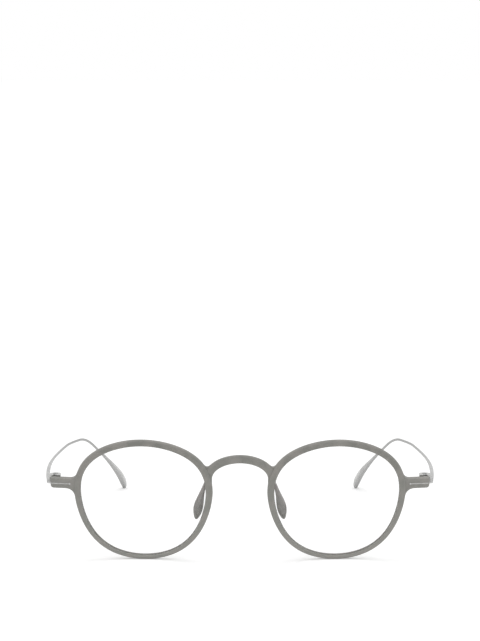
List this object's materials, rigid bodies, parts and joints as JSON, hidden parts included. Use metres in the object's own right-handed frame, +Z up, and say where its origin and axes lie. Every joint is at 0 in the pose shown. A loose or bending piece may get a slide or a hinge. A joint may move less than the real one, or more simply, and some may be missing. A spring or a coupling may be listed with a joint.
{
  "type": "round eyeglasses",
  "caption": "Round full-rim eyeglasses with an arched bridge, leaf nose pads and thin wire temples that fold on screw hinges.",
  "frame": {"origin": "under the middle of the whole object, temples open, on the surface that the rims and the temple tips stand on", "axes": "+X towards the wearer's left, +Y back towards the ears, +Z up"},
  "size_m": [0.1462, 0.1468, 0.0448],
  "materials": {
    "frame_satin": "satin warm grey acetate, evenly tumbled",
    "pad_grey": "satin grey",
    "lens_clear": "clear, polished, antireflective",
    "titanium": "brushed titanium",
    "steel_pin": "turned steel",
    "washer_nylon": "natural nylon"
  },
  "bodies": {
    "front": {"front_frame": "frame_satin", "lens_left": "lens_clear", "lens_right": "lens_clear", "nose_pad_left": "pad_grey", "nose_pad_right": "pad_grey", "nose_pad_pin_left": "steel_pin", "nose_pad_pin_right": "steel_pin", "hinge_leaf_left": "titanium", "hinge_leaf_right": "titanium", "hinge_lock_pin_left": "titanium", "hinge_lock_pin_right": "titanium", "hinge_screw_left": "steel_pin", "hinge_screw_right": "steel_pin", "hinge_washer_upper_left": "washer_nylon", "hinge_washer_upper_right": "washer_nylon", "hinge_washer_lower_left": "washer_nylon", "hinge_washer_lower_right": "washer_nylon"},
    "temple_left": {"temple_head_left": "titanium", "temple_arm_left": "titanium"},
    "temple_right": {"temple_head_right": "titanium", "temple_arm_right": "titanium"}
  },
  "joints": [
    {"name": "temple_left_fold", "type": "hinge", "parent": "front", "child": "temple_left", "pos_m": [0.06735, -0.06148, 0.02832], "axis": [0, 0, 1], "range_deg": [0, 81]},
    {"name": "temple_right_fold", "type": "hinge", "parent": "front", "child": "temple_right", "pos_m": [-0.06735, -0.06148, 0.02832], "axis": [0, 0, -1], "range_deg": [0, 70]}
  ]
}
